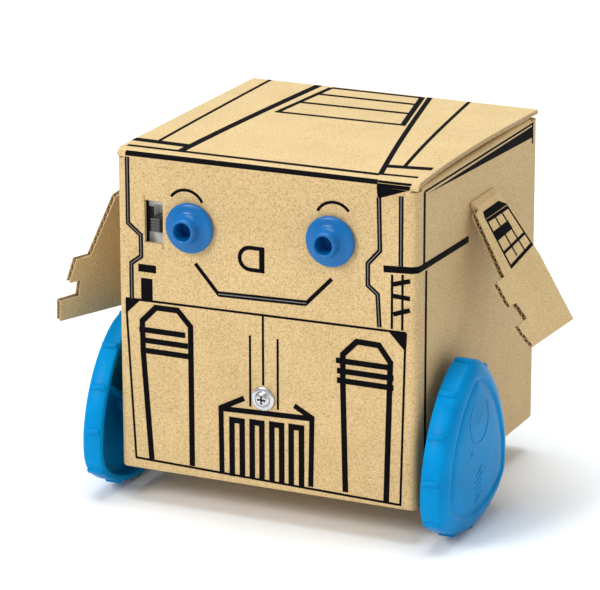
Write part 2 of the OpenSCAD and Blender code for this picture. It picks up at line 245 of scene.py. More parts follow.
def kraft(name, tint, flute_axis, flute_bump=0.25):
    """Uncoated kraft board: specks and fibres in the liner, with faint flutes showing through."""
    material, tree, shader, node = new_material(name)
    dark = tuple(c * k for c, k in zip(tint, (0.70, 0.65, 0.57)))
    light = tuple(min(1, c * k) for c, k in zip(tint, (1.16, 1.20, 1.32)))
    specks = noise(node, 2300, 3)
    base = ramp(node, specks, [(0.36, dark), (0.66, light), (0.46, tint), (0.55, tint)])
    fibre_scale = (800, 2200, 2200) if flute_axis == "x" else (2200, 800, 2200)
    fibres = noise(node, 1, 2, stretched(node, fibre_scale))
    fibre_tone = ramp(node, fibres, [(0.35, (0.80, 0.78, 0.74)), (0.62, (1.03, 1.03, 1.03))])
    colour = mix(node, "MULTIPLY", 0.35, base, fibre_tone)
    clouds = ramp(node, noise(node, 45, 3), [(0.3, (0.93, 0.92, 0.90)), (0.7, (1.04, 1.04, 1.05))])
    colour = mix(node, "MULTIPLY", 0.8, colour, clouds)
    tree.links.new(colour, shader.inputs["Base Color"])
    in_place = node("ShaderNodeTexCoord").outputs["Object"]
    wave_scale = 2 * math.pi / (20 * FLUTE * MM)
    wave_links = {"Vector": in_place, "Scale": wave_scale}
    wave = node("ShaderNodeTexWave", wave_links, bands_direction=flute_axis.upper())
    relief = 0.12 * MM
    coarse_links = {"Height": wave.outputs["Fac"], "Strength": flute_bump, "Distance": relief}
    coarse = node("ShaderNodeBump", coarse_links)
    fine_links = {"Height": specks, "Strength": 0.3, "Distance": relief, "Normal": coarse.outputs["Normal"]}
    fine = node("ShaderNodeBump", fine_links)
    tree.links.new(fine.outputs["Normal"], shader.inputs["Normal"])
    shader.inputs["Roughness"].default_value = 0.62
    shader.inputs["Specular IOR Level"].default_value = 0.22
    return material


def moulded(name, colour, roughness, grain=0.1, sheen_tone=1.15):
    """Moulded plastic: slight flow marks in the colour, a fine grain and uneven gloss."""
    material, tree, shader, node = new_material(name)
    lighter = tuple(min(1, c * sheen_tone) for c in colour)
    darker = tuple(c / sheen_tone for c in colour)
    tone = ramp(node, noise(node, 60, 3), [(0.3, darker), (0.7, lighter)])
    tree.links.new(tone, shader.inputs["Base Color"])
    gloss_links = {"Value": noise(node, 240, 4), "To Min": roughness * 0.85, "To Max": roughness * 1.2}
    gloss = node("ShaderNodeMapRange", gloss_links)
    tree.links.new(gloss.outputs["Result"], shader.inputs["Roughness"])
    bump = node("ShaderNodeBump", {"Height": noise(node, 2600, 2), "Strength": grain, "Distance": 0.00005})
    tree.links.new(bump.outputs["Normal"], shader.inputs["Normal"])
    return material


def metal(name, colour, roughness, brushed=(900, 900, 60)):
    """Metal with fine drawn lines and a little tarnish."""
    material, tree, shader, node = new_material(name)
    lines = noise(node, 1, 3, stretched(node, brushed))
    tone = ramp(node, lines, [(0.3, tuple(c * 0.82 for c in colour)), (0.7, colour)])
    tree.links.new(tone, shader.inputs["Base Color"])
    gloss = node("ShaderNodeMapRange", {"Value": lines, "To Min": roughness * 0.8, "To Max": roughness * 1.3})
    tree.links.new(gloss.outputs["Result"], shader.inputs["Roughness"])
    bump = node("ShaderNodeBump", {"Height": lines, "Strength": 0.15, "Distance": 0.00004})
    tree.links.new(bump.outputs["Normal"], shader.inputs["Normal"])
    shader.inputs["Metallic"].default_value = 1.0
    return material


def printed_board(name):
    """A circuit board's green mask with faint copper tracks under it."""
    material, tree, shader, node = new_material(name)
    brick = node(
        "ShaderNodeTexBrick",
        {"Vector": node("ShaderNodeTexCoord").outputs["Object"], "Scale": 180, "Mortar Size": 0.06,
         "Color1": (0.02, 0.14, 0.05, 1), "Color2": (0.025, 0.16, 0.06, 1), "Mortar": (0.05, 0.26, 0.10, 1)},
    )
    tree.links.new(brick.outputs["Color"], shader.inputs["Base Color"])
    bump = node("ShaderNodeBump", {"Height": brick.outputs["Fac"], "Strength": 0.2, "Distance": 0.00005})
    tree.links.new(bump.outputs["Normal"], shader.inputs["Normal"])
    shader.inputs["Roughness"].default_value = 0.35
    return material


TAN = (0.60, 0.43, 0.21)
KRAFT_X = kraft("kraft_x", TAN, "x")
KRAFT_Y = kraft("kraft_y", TAN, "y")
KRAFT_EDGE = kraft("kraft_edge", (0.46, 0.33, 0.19), "z", 0.1)
KRAFT_WAVE = kraft("kraft_medium", (0.52, 0.37, 0.2), "z", 0.1)
# A dark brown board colour, used only as painted shade inside the arms' flutes
KRAFT_DEEP = kraft("kraft_deep", (0.13, 0.08, 0.045), "z", 0.1)
INK_BLACK = moulded("ink_black", (0.0025, 0.002, 0.003), 0.7, 0.3)
INK_BLACK.node_tree.nodes["Principled BSDF"].inputs["Specular IOR Level"].default_value = 0.05
INK_GREY = moulded("ink_grey", (0.13, 0.12, 0.11), 0.7, 0.3)
BLUE = moulded("blue_plastic", (0.001, 0.225, 0.53), 0.28, 0.08)
BLUE.node_tree.nodes["Principled BSDF"].inputs["Specular IOR Level"].default_value = 0.04
EYE_BLUE = moulded("eye_blue", (0.001, 0.12, 0.36), 0.24, 0.08)
EYE_BLUE.node_tree.nodes["Principled BSDF"].inputs["Specular IOR Level"].default_value = 0.3
BLACK_PLASTIC = moulded("black_plastic", (0.012, 0.012, 0.014), 0.45, 0.3)
KNOB_PLASTIC = moulded("knob_plastic", (0.06, 0.06, 0.065), 0.4, 0.2)
WHITE_PLASTIC = moulded("white_plastic", (0.80, 0.80, 0.77), 0.4, 0.15, 1.03)
CELL_FILM = moulded("cell_film", (0.03, 0.035, 0.05), 0.25, 0.05)
STEEL = metal("plated_steel", (0.62, 0.62, 0.64), 0.22)
CAN_STEEL = metal("can_steel", (0.66, 0.67, 0.69), 0.34, (60, 900, 900))
BRASS = metal("brass", (0.76, 0.56, 0.24), 0.3)
CIRCUIT = printed_board("circuit_board")


# ---------------------------------------------------------------- mesh helpers
def add_mesh(name, vertices, faces, material, body, slot, smooth=True, angle=40):
    """A mesh object that rides on a body, with outward normals and creases kept sharp."""
    mesh = bpy.data.meshes.new(name)
    mesh.from_pydata([tuple(v) for v in vertices], [], faces)
    mesh.validate()
    bm = bmesh.new()
    bm.from_mesh(mesh)
    bmesh.ops.remove_doubles(bm, verts=bm.verts, dist=1e-7)
    bmesh.ops.recalc_face_normals(bm, faces=bm.faces)
    limit = math.radians(angle)
    for face in bm.faces:
        face.smooth = smooth
    for edge in bm.edges:
        if len(edge.link_faces) == 2 and edge.calc_face_angle(0) > limit:
            edge.smooth = False
    bm.to_mesh(mesh)
    bm.free()
    made = bpy.data.objects.new(name, mesh)
    bpy.context.scene.collection.objects.link(made)
    mesh.materials.append(material)
    if body:
        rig.ride(made, body)
    if slot:
        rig.slot(made, slot)
    return made


def grid_solid(point, us, vs, h0, h1):
    """Vertices and faces of a closed sheet: point(u, v, h), from depth h0 to depth h1."""
    vertices, faces = [], []
    nu, nv = len(us), len(vs)
    for h in (h0, h1):
        for u in us:
            for v in vs:
                vertices.append(point(u, v, h))

    def index(layer, i, j):
        return layer * nu * nv + i * nv + j

    for layer in (0, 1):
        for i in range(nu - 1):
            for j in range(nv - 1):
                corners = ((i, j), (i + 1, j), (i + 1, j + 1), (i, j + 1))
                faces.append(tuple(index(layer, a, b) for a, b in corners))
    for i in range(nu - 1):
        for j in (0, nv - 1):
            faces.append((index(0, i, j), index(0, i + 1, j), index(1, i + 1, j), index(1, i, j)))
    for j in range(nv - 1):
        for i in (0, nu - 1):
            faces.append((index(0, i, j), index(0, i, j + 1), index(1, i, j + 1), index(1, i, j)))
    return vertices, faces


def joined(parts):
    """Several (vertices, faces) pairs as one."""
    vertices, faces = [], []
    for more_vertices, more_faces in parts:
        start = len(vertices)
        vertices += more_vertices
        faces += [tuple(start + i for i in face) for face in more_faces]
    return vertices, faces


def steps(a, b, count):
    """count + 1 even values from a to b."""
    return [a + (b - a) * i / count for i in range(count + 1)]


def prism(outline, place, h0, h1):
    """A closed prism from a 2D outline; place(u, v, h) puts it in space."""
    n = len(outline)
    vertices = [place(u, v, h0) for u, v in outline] + [place(u, v, h1) for u, v in outline]
    triangles = tessellate_polygon([[Vector((u, v, 0)) for u, v in outline]])
    faces = [tuple(t) for t in triangles] + [tuple(n + i for i in t) for t in triangles]
    faces += [(i, (i + 1) % n, n + (i + 1) % n, n + i) for i in range(n)]
    return vertices, faces


def lathe(profile, centre, axis_point, segments=64):
    """A closed turned solid: profile is (radius, distance) pairs; axis_point(x, y, d) places them."""
    vertices, faces = [], []
    n = len(profile)
    for s in range(segments):
        turn = 2 * math.pi * s / segments
        for r, d in profile:
            vertices.append(axis_point(centre[0] + r * math.cos(turn), centre[1] + r * math.sin(turn), d))
    for s in range(segments):
        after = (s + 1) % segments
        for i in range(n - 1):
            faces.append((s * n + i, after * n + i, after * n + i + 1, s * n + i + 1))
    faces.append(tuple(s * n for s in range(segments)))
    faces.append(tuple(s * n + n - 1 for s in range(segments)))
    return vertices, faces


def box_solid(low, high):
    """A box between two corners, in the millimetres of at()."""
    return grid_solid(lambda x, y, z: at(x, y, z), [low[0], high[0]], [low[1], high[1]], low[2], high[2])


def bevel(made, width, segments=3, angle=35):
    """Rounds an object's sharp edges and applies the result."""
    modifier = made.modifiers.new("bevel", "BEVEL")
    modifier.width = width * MM
    modifier.segments = segments
    modifier.limit_method = "ANGLE"
    modifier.angle_limit = math.radians(angle)
    modifier.harden_normals = False
    apply_modifiers(made)
    return made


def apply_modifiers(made):
    """Replaces an object's mesh by its evaluated mesh."""
    graph = bpy.context.evaluated_depsgraph_get()
    mesh = bpy.data.meshes.new_from_object(made.evaluated_get(graph))
    made.modifiers.clear()
    made.data = mesh


def cut(made, tool_parts):
    """Cuts closed solids out of an object."""
    tool = add_mesh("cutter", *joined(tool_parts), KRAFT_EDGE, None, None)
    modifier = made.modifiers.new("cut", "BOOLEAN")
    modifier.operation = "DIFFERENCE"
    modifier.solver = "EXACT"
    modifier.use_self = True
    modifier.object = tool
    apply_modifiers(made)
    bpy.data.objects.remove(tool)
    return made


# ---------------------------------------------------------------- where print lies
def wall_point(u, z, out):
    """A point on the front or, round the upright folds, on a side; u runs along the wall from the middle."""
    side = 1 if u >= 0 else -1
    u = abs(u)
    if u <= FRONT_EDGE:
        return at(side * u, -out, z)
    if u <= FRONT_EDGE + QUARTER:
        turn = (u - FRONT_EDGE) / FOLD
        r = FOLD + out
        return at(side * (FRONT_EDGE + r * math.sin(turn)), FOLD - r * math.cos(turn), z)
    return at(side * (HALF_W + out), FOLD + u - FRONT_EDGE - QUARTER, z)


def side_u(y):
    """The wall coordinate of a point on the side wall, y behind the face."""
    return FRONT_EDGE + QUARTER + y - FOLD


def bulge(x, y):
    """How far the lid springs up above its flat shape."""
    across = 0.55 + 0.45 * x / HALF_W
    return 1.5 * across * math.sin(math.pi * min(1, max(0, (y - FOLD) / (DEPTH - FOLD))) ** 0.8)


def lid_point(x, s, depth):
    """A point of the lid; s runs from the top of the face round the fold and back."""
    if s < QUARTER:
        turn = s / FOLD
        r = FOLD - depth
        return at(x, FOLD - r * math.cos(turn), FOLD_TOP + r * math.sin(turn))
    y = FOLD + s - QUARTER
    return at(x, y, LID_TOP - depth + bulge(x, y))


def lid_s(y):
    """The lid coordinate of a point y behind the face."""
    return QUARTER + y - FOLD


# ---------------------------------------------------------------- print
def mitred(points, width, closed=False):
    """Left and right offsets of a polyline."""
    left, right = [], []
    n = len(points)
    for i, p in enumerate(points):
        before = points[i - 1] if i or closed else None
        after = points[(i + 1) % n] if i < n - 1 or closed else None
        directions = []
        for a, b in ((before, p), (p, after)):
            if a is not None and b is not None:
                directions.append(Vector((b[0] - a[0], b[1] - a[1])).normalized())
        first, last = directions[0], directions[-1]
        normal = (Vector((-first.y, first.x)) + Vector((-last.y, last.x))).normalized()
        reach = width / 2 / max(0.4, normal.dot(Vector((-last.y, last.x))))
        left.append((p[0] + normal.x * reach, p[1] + normal.y * reach))
        right.append((p[0] - normal.x * reach, p[1] - normal.y * reach))
    return left, right


def resampled_pair(left, right, longest, closed):
    """Both edges of a strip, cut at the same places."""
    out_left, out_right = [], []
    n = len(left)
    last = n if closed else n - 1
    for i in range(last):
        j = (i + 1) % n
        count = max(1, math.ceil(max(math.dist(left[i], left[j]), math.dist(right[i], right[j])) / longest))
        for k in range(count):
            t = k / count
            out_left.append(tuple(a + (b - a) * t for a, b in zip(left[i], left[j])))
            out_right.append(tuple(a + (b - a) * t for a, b in zip(right[i], right[j])))
    if not closed:
        out_left.append(left[-1])
        out_right.append(right[-1])
    return out_left, out_right


def stroke(width, points, place, out=INK, closed=False, longest=3.0):
    """A printed line: a thin closed strip along a polyline."""
    left, right = resampled_pair(*mitred(points, width, closed), longest, closed)
    n = len(left)
    vertices = [place(u, v, h) for h in (out, -INK) for side in (left, right) for u, v in side]
    faces = []
    last = n if closed else n - 1
    for i in range(last):
        j = (i + 1) % n
        faces += [(i, j, n + j, n + i), (2 * n + i, 2 * n + j, 3 * n + j, 3 * n + i)]
        faces += [(i, j, 2 * n + j, 2 * n + i), (n + i, n + j, 3 * n + j, 3 * n + i)]
    if not closed:
        for i in (0, n - 1):
            faces.append((i, n + i, 3 * n + i, 2 * n + i))
    return vertices, faces


def patch(outline, place, out=INK):
    """A printed area: a thin closed plate."""
    return prism(outline, place, out, -INK)


def arc3(a, b, c, count=14):
    """Points on the circle through three points."""
    ax, ay, bx, by, cx, cy = *a, *b, *c
    d = 2 * (ax * (by - cy) + bx * (cy - ay) + cx * (ay - by))
    ux = ((ax**2 + ay**2) * (by - cy) + (bx**2 + by**2) * (cy - ay) + (cx**2 + cy**2) * (ay - by)) / d
    uy = ((ax**2 + ay**2) * (cx - bx) + (bx**2 + by**2) * (ax - cx) + (cx**2 + cy**2) * (bx - ax)) / d
    r = math.dist((ux, uy), a)
    t0, t1, t2 = (math.atan2(p[1] - uy, p[0] - ux) for p in (a, b, c))
    while t1 < t0:
        t1 += 2 * math.pi
    while t2 < t0:
        t2 += 2 * math.pi
    if t1 > t2:
        t2 -= 2 * math.pi
    return [(ux + r * math.cos(t), uy + r * math.sin(t)) for t in steps(t0, t2, count)]


THIN, LINE, BOLD, THICK = 0.85, 1.5, 2.2, 2.5

# The face's double lines: black, with a thin grey core
DOUBLES = [
    [(-54.6, FOLD_TOP), (-54.6, 94), (-49.5, 90), (-49.5, 82), (-53.5, 79), (-53.5, 65.5)],
    [(44.3, 115), (44.8, 95.7), (40.2, 90.5), (40.2, 82.5), (44, 79.5), (44.7, 67.5)],
    [(52.8, 116.5), (52.8, 91)],
]
MOUTH = [(-27.6, 82), (-18.5, 71.7), (16.3, 72.7), (26.3, 83)]
NOSE = [(-0.9, 82.4), (-0.9, 90.6), (-5.4, 90.6), *arc3((-5.8, 90.6), (-9.9, 86.5), (-5.8, 82.4), 10)]


def face_strokes():
    """The printed lines of the face and of the panel under it, as (width, points, closed)."""
    lines = [(1.8, points, False) for points in DOUBLES]
    lines.append((LINE, MOUTH, False))
    lines.append((2.1, MOUTH[1:3], False))
    lines.append((1.5, NOSE, True))
    lines.append((2.1, [(-1.1, 81.8), (-1.1, 91.3)], False))
    lines.append((1.1, arc3((-37, 106), (-31.3, 109), (-24.6, 105)), False))
    lines.append((1.1, arc3((20.7, 107.5), (26.7, 111.3), (32.8, 108.6)), False))
    lines.append((0.9, [(49.5, 87.5), (49.5, 67.5)], False))
    lines.append((0.9, [(53.5, 88), (53.5, 67.5)], False))
    for a, b in (((49.7, 84), (56.4, 86)), ((49.7, 79.8), (56.4, 79.5)), ((50, 73), (56.4, 75.3))):
        lines.append((1.7, [a, b], False))
    lines.append((THIN, [(-56, 65.3), (55, 66.7)], False))
    panel = [(-55.7, 65.3), (-55.7, 60), (-52.7, 4.2), (53.2, 1.9), (54.6, 60), (55, 66.7)]
    lines.append((THIN, panel, False))
    for x, z0, z1 in ((-0.8, 66, 39.5), (-6, 57.7, 30.7), (5, 57.8, 31)):
        lines.append((THIN, [(x, z0), (x, z1)], False))
    left = [(-46.3, 4.5), (-49.2, 46), (-49.4, 57.5), (-43.8, 63.2), (-35, 63.3), (-29.8, 57.8), (-29.7, 4.3)]
    right = [(31.7, 3.5), (30.6, 46), (30.6, 55.5), (36, 61), (44.6, 60.8), (49, 55), (47.7, 2.4)]
    lines += [(BOLD, left, False), (BOLD, right, False)]
    for a, b, z in ((-50.7, -32, 54.2), (-50.2, -31, 50.2), (-49.8, -30.3, 46.3)):
        lines.append((2.1, [(a, z), (b, z)], False))
    for a, b, z in ((27.9, 48.5, 53), (28.3, 50.3, 49.2), (28.3, 50.3, 45.6)):
        lines.append((2.1, [(a, z), (b, z)], False))
    lines.append((2.0, [(-17.6, 3), (-17.8, 28.3), (18.5, 29.5), (18, 3.5)], False))
    lines.append((2.0, [(-18, 28.5), (-8.5, 33.5)], False))
    lines.append((2.0, [(18.7, 29.7), (11.5, 33.5)], False))
    for a, b, top in ((-14.4, -8.4, 25.5), (-6.3, -0.5, 25.8), (1.6, 7.4, 26.1), (9.3, 15.3, 26.3)):
        left_x, right_x, bar_top = a + 0.95, b - 0.95, top - 0.95
        bar = [(left_x, 2.8), (left_x, bar_top), (right_x, bar_top), (right_x, 2.8)]
        lines.append((BOLD, bar, False))
    return lines


def face_patches():
    """The printed areas of the face and of the panel under it."""
    return [
        [(-50.7, 76.2), (-43.5, 76.2), (-43.5, 79.1), (-50.7, 79.1)],
        [(-49.7, 65.6), (-45, 65.6), (-45, 73.9), (-49.7, 73.9)],
        [(43.4, FOLD_TOP), (43.8, 115), (45, 115), (55.6, FOLD_TOP)],
        [(-56, 65.3), (-50, 65.3), (-55.5, 60)],
        [(48, 66.7), (55, 66.7), (54.5, 60)],
    ]


def side_strokes(side):
    """The printed lines of a side wall."""
    top = WALL_TOP - 0.9
    return [
        (1.9, [(side * side_u(6.3), top), (side * side_u(6.3), 91)], False),
        (1.9, [(side * side_u(8.2), 88), (side * side_u(8.2), 4)], False),
        (0.8, [(side * side_u(6), top), (side * side_u(110.5), top)], False),
        (1.3, [(side * side_u(109.7), top), (side * side_u(109.7), 109.5)], False),
    ]


def side_patches(side):
    """The printed wedge of a side wall."""
    top = WALL_TOP - 1.9
    return [[(side * side_u(9), top - 0.4), (side * side_u(109.4), top), (side * side_u(109.4), 111.9)]]


def lid_strokes():
    """The printed lines of the lid, as (width, points in x and y)."""
    return [
        (BOLD, [(-57.3, 5.8), (42, 6.0)]),
        (1.8, [(42, 6.6), (56, 7.4)]),
        (4.0, [(-59, 14.2), (-36.5, 13.2)]),
        (3.4, [(39.5, 15.6), (57, 18)]),
        (LINE, [(-49.3, 15), (-51.7, 115)]),
        (3.2, [(-36, 6), (-31, DEPTH - 0.3)]),
        (2.2, [(-25, 113), (-27.5, 70), (23.5, 69.5), (12.7, 113), (-25, 113)]),
        (2.4, [(-25.5, 101.7), (15.5, 101.7)]),
        (2.4, [(-26, 87), (19, 87)]),
        (2.0, [(42, 7), (39, 19), (15.3, DEPTH - 0.3)]),
        (LINE, [(46.5, 18), (31.3, DEPTH - 0.3)]),
    ]


def print_carton():
    """All print on the walls and on the lid."""
    black, grey = [], []
    for i, (width, points, closed) in enumerate(face_strokes()):
        black.append(stroke(width, points, wall_point, INK + 0.002 * i, closed))
    for outline in face_patches():
        black.append(patch(outline, wall_point, 0.8 * INK))
    for side in (1, -1):
        for width, points, closed in side_strokes(side):
            black.append(stroke(width, points, wall_point, closed=closed))
        for outline in side_patches(side):
            black.append(patch(outline, wall_point))
    for side, start in ((1, 46.2), (-1, side_u(1))):
        band = [(start, 89.3), (max(58, start), 90), (side_u(1.5), 90), (side_u(47.5), 89)]
        black.append(stroke(THICK, [(side * u, z) for u, z in band], wall_point, longest=0.4))
    for points in (*DOUBLES, MOUTH[1:3]):
        grey.append(stroke(0.38, points, wall_point, out=INK * 3))
    add_mesh("wall_print", *joined(black), INK_BLACK, "base", "card", smooth=False)
    add_mesh("wall_print_core", *joined(grey), INK_GREY, "base", "card", smooth=False)

    def on_lid(x, y, out):
        return lid_point(x, lid_s(y), -out)

    lines = [stroke(width, points, on_lid) for width, points in lid_strokes()]
    add_mesh("lid_print", *joined(lines), INK_BLACK, "lid", "card", smooth=False)

    def on_fold(x, s, out):
        return lid_point(x, s, -out)

    fold_lines = []
    across = [(2.0, (-55.4, 1.4), (43.5, 1.9))]
    across += [(1.4, (43.5, 0.7), (56, 0.8)), (1.0, (43.6, 2.1), (56.3, 2.2))]
    # Each line is laid as narrow strips, so that it follows the bend
    strips = 5
    for width, (x0, s0), (x1, s1) in across:
        for k in range(strips):
            shift = width * (k - 2) / strips
            strip = [(x0, s0 + shift), (x1, s1 + shift)]
            fold_lines.append(stroke(width / strips, strip, on_fold, longest=2.0))
    made = add_mesh("fold_print", *joined(fold_lines), INK_BLACK, None, "card", smooth=False)
    blend_fold(made)


def blend_fold(made):
    """Bends a piece from the face to the lid."""
    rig.blend(made, "base", "lid", start=at(0, 0, FOLD_TOP), end=at(0, FOLD, LID_TOP))


# ---------------------------------------------------------------- carton and lid
def plan_outline(inset, corner_steps=8):
    """The carton's rounded plan."""
    r = FOLD - min(inset, 2.0)
    outline = []
    for sx, sy, start in ((1, 1, 0), (-1, 1, 90), (-1, -1, 180), (1, -1, 270)):
        cx = sx * (HALF_W - inset - r)
        cy = DEPTH / 2 + sy * (DEPTH / 2 - inset - r)
        for a in steps(start, start + 90, corner_steps):
            outline.append((cx + r * math.cos(math.radians(a)), cy + r * math.sin(math.radians(a))))
    return outline


def make_carton():
    """The carton: walls with rounded folds, a base, and the front window, the arms' slits, the axle holes and the
    skid's hole cut through the board.
    """
    rings = [(1.0, 0.0), (0.35, 0.25), (0.0, 0.9), (0.0, 40.0), (0.0, 80.0), (0.0, WALL_TOP)]
    rings += [(BOARD, WALL_TOP), (BOARD, BOARD)]
    vertices, faces = [], []
    n = len(plan_outline(0))
    for inset, z in rings:
        vertices += [at(x, y, z) for x, y in plan_outline(inset)]
    for k in range(len(rings) - 1):
        for i in range(n):
            j = (i + 1) % n
            faces.append((k * n + i, k * n + j, (k + 1) * n + j, (k + 1) * n + i))
    faces.append(tuple(range(n)))
    faces.append(tuple(range((len(rings) - 1) * n, len(rings) * n)))
    made = add_mesh("carton_board", vertices, faces, KRAFT_X, "base", "card")
    slit = 0.15
    tools = [box_solid((-47.9, -1, 87.5), (-40.5, BOARD + 1, 103.5))]
    tools.append(box_solid((-48.05, -1, 103), (-47.75, BOARD + 1, 105)))
    tools.append(box_solid((-40.7, -1, 85.6), (-40.4, BOARD + 1, 88)))
    for node, (side, turn, _, fold_y) in ARMS.items():
        x0, x1 = sorted((side * (HALF_W - BOARD - 1), side * (HALF_W + 1)))
        half = CREASE / 2 * math.cos(turn) + slit
        z = tab_height(node)
        slit_low = (x0, fold_y - half, z - BOARD / 2 - slit)
        slit_high = (x1, fold_y + half, z + BOARD / 2 + slit)
        tools.append(box_solid(slit_low, slit_high))
        for end in (-half, half):
            tools.append(box_solid((x0, fold_y + end - 0.2, z - 1.9), (x1, fold_y + end + 0.2, z)))
    axle_y, axle_z = wheel_centre()
    axle_hole = [(5, HALF_W - BOARD - 1), (5, HALF_W + 1)]
    for side in (1, -1):
        tools.append(lathe(axle_hole, (axle_y, axle_z), lambda y, z, d, s=side: at(s * d, y, z), 40))
    skid_low, skid_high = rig.box("rear_skid")
    skid_y = ((skid_low.y + skid_high.y) / 2 - carton_low.y) / MM
    tools.append(lathe([(8, -1), (8, BOARD + 1)], (0, skid_y), lambda x, y, d: at(x, y, d), 40))
    cut(made, tools)
    for polygon in made.data.polygons:
        x, y, z = (abs(v) for v in polygon.normal)
        polygon.use_smooth = z < 0.99 and max(x, y) < 0.999
    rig.replaces(made, "carton")
    # The strip of the face between the walls' tops and the fold
    strip = box_solid((-FRONT_EDGE, 0, WALL_TOP - 0.01), (FRONT_EDGE, BOARD, FOLD_TOP))
    add_mesh("carton_face_top", *strip, KRAFT_X, "base", "card", smooth=False)


def wheel_centre():
    """A wheel's centre in y and z, in the millimetres of at()."""
    low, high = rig.box("right_axle")
    return ((low.y + high.y) / 2 - carton_low.y) / MM, ((low.z + high.z) / 2 - carton_low.z) / MM


def make_lid():
    """The lid: two liners with fluted medium between them, and the fold that joins it to the face."""
    xs = steps(-HALF_W, HALF_W, 24)
    flat = [lid_s(y) for y in steps(FOLD, DEPTH, 26)]
    wave_xs = steps(-HALF_W + 0.1, HALF_W - 0.1, 300)

    def wave(x, s, depth):
        middle = BOARD / 2 + (BOARD / 2 - LINER - 0.1) * math.sin(2 * math.pi * x / FLUTE)
        return lid_point(x, s, middle + depth)

    outer = add_mesh("lid_outer_liner", *grid_solid(lid_point, xs, flat, 0, LINER), KRAFT_X, "lid", "card")
    inner = grid_solid(lid_point, xs, flat, BOARD - LINER, BOARD)
    add_mesh("lid_inner_liner", *inner, KRAFT_X, "lid", "card")
    wave_s = [lid_s(y) for y in steps(FOLD, DEPTH - 0.15, 10)]
    add_mesh("lid_medium", *grid_solid(wave, wave_xs, wave_s, -0.1, 0.1), KRAFT_WAVE, "lid", "card")
    # Raw side edges, closed because the flutes run along them
    sides = []
    for side in (1, -1):
        edge = [side * (HALF_W - 0.5), side * (HALF_W - 0.12)]
        sides.append(grid_solid(lid_point, edge, flat, LINER - 0.02, BOARD - LINER + 0.02))
    add_mesh("lid_side_edges", *joined(sides), KRAFT_EDGE, "lid", "card")
    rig.replaces(outer, "lid_flap")
    arcs = steps(0, QUARTER, 10)
    bend = grid_solid(lid_point, steps(-HALF_W + 0.35, HALF_W, 24), arcs, 0, BOARD)
    blend_fold(add_mesh("lid_fold", *bend, KRAFT_X, None, "card"))


def make_dust_flaps():
    """Each dust flap, with the fold at the top of the side wall."""
    low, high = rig.box("right_dust_flap")
    y0 = (low.y - carton_low.y) / MM
    y1 = (high.y - carton_low.y) / MM
    inner_x = low.x / MM
    r = BOARD
    for side, node in ((1, "right_dust_flap"), (-1, "left_dust_flap")):
        profile = [(inner_x, WALL_TOP), (HALF_W - r, WALL_TOP), (HALF_W, WALL_TOP)]
        for t in steps(0.05, math.pi / 2, 8):
            profile.append((HALF_W - r + r * math.cos(t), WALL_TOP + r * math.sin(t)))
        profile.append((inner_x, WALL_TOP + BOARD))
        board = prism(profile, lambda x, z, y, s=side: at(s * x, y, z), y0, y1)
        made = add_mesh(node + "_board", *board, KRAFT_X, "base", "card")
        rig.replaces(made, node)


def make_tuck():
    """The tuck under the lid's rear edge, with a worn fold."""
    made = add_mesh("lid_tuck_board", *box_solid(*box_of("lid_tuck")), KRAFT_X, "lid", "card", smooth=False)
    bevel(made, 0.4)
    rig.replaces(made, "lid_tuck")


# ---------------------------------------------------------------- arms
CREASE = 21.5
CREASE_GAP = 0.9
ARM_START = 1.2
# Each arm: side, turn of its crease, angle to the wall, middle of its crease behind the face
ARMS = {
    "right_arm": (1, 0.0, math.radians(35), 59.15),
    "left_arm": (-1, math.radians(20), math.radians(17.5), 30.5),
}
# The arm's outline: along the crease from its middle, and away from the crease
ARM_FRONT = [
    (-10.75, 1.2), (-10.75, 2.5), (-14.1, 3.7), (-20.5, 27.7), (-27.6, 27.71), (-28.6, 37.5), (-23.1, 37.8),
    (-22.3, 44.6), (-31.5, 44.7), (-29.3, 54),
]
ARM_BACK = [(10.75, 1.2), (10.75, 2.5), (12.4, 6.5), (12.9, 29), (8.9, 55)]


def edge_at(points, length):
    """Where one edge of the arm lies, at a length along it."""
    for (y0, l0), (y1, l1) in zip(points, points[1:]):
        if l0 <= length <= l1 and l1 > l0:
            return y0 + (y1 - y0) * (length - l0) / (l1 - l0)
    return points[-1][0]


def tab_height(node):
    """The height of an arm's tab, in the millimetres of at()."""
    low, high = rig.box(node + "_tab")
    return ((low.z + high.z) / 2 - carton_low.z) / MM


def crease_point(node, along, outward, up):
    """A point near an arm's crease: along it, level with it and outwards, and above it."""
    side, turn, _, fold_y = ARMS[node]
    fold_x = HALF_W + CREASE_GAP + CREASE / 2 * math.sin(turn)
    x = fold_x + outward * math.cos(turn) - along * math.sin(turn)
    y = fold_y + outward * math.sin(turn) + along * math.cos(turn)
    return at(side * x, y, tab_height(node) + up)


def arm_placer(node):
    """A function that places a point of the arm: along the crease, away from it, over the middle plane."""
    opened = ARMS[node][2]

    def place(along, length, out):
        outward = length * math.sin(opened) + out * math.cos(opened)
        up = out * math.sin(opened) - length * math.cos(opened)
        return crease_point(node, along, outward, up)

    return place


